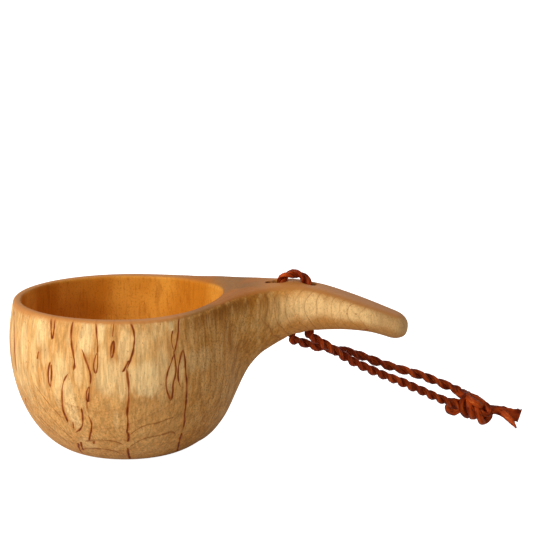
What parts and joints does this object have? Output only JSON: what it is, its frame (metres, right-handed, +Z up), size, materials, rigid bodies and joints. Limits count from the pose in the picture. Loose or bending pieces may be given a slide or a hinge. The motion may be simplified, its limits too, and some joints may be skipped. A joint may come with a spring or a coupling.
{
  "type": "drinking cup",
  "caption": "Carved wooden drinking cup with a round bowl, one drooping handle with two holes, and a twisted leather wrist loop knotted through them.",
  "frame": {"origin": "on the bowl's axis, in the plane that the foot stands on", "axes": "+X along the handle, +Z up out of the bowl, +Y away from the side that shows the strap in front"},
  "size_m": [0.2155, 0.0966, 0.0749],
  "materials": {
    "birch": "oiled curly birch, satin, with dark flame marks; amber inside the bowl",
    "leather": "red-brown tanned lace, semi-gloss, folded and twisted"
  },
  "bodies": {
    "cup": {"cup": "birch"},
    "bridge": {"strap_bridge": "leather"},
    "neck": {"strap_neck_a": "leather", "strap_neck_b": "leather"},
    "loop": {"strap_leg_a": "leather", "strap_leg_b": "leather", "strap_knot": "leather", "strap_eye": "leather", "strap_tail_a": "leather", "strap_tail_b": "leather"}
  },
  "joints": [
    {"name": "strap_pull", "type": "slide", "parent": "cup", "child": "bridge", "axis": [0, 0, 1], "range_m": [0, 0.0008]},
    {"name": "strap_swing", "type": "hinge", "parent": "bridge", "child": "neck", "pos_m": [0.0684, 0, 0.0445], "axis": [0.9578, 0, 0.2873], "range_deg": [-95, 40]},
    {"name": "strap_droop", "type": "hinge", "parent": "neck", "child": "loop", "pos_m": [0.0866, 0.0106, 0.0384], "axis": [0, -0.9918, 0.128], "range_deg": [-60, 20]}
  ]
}
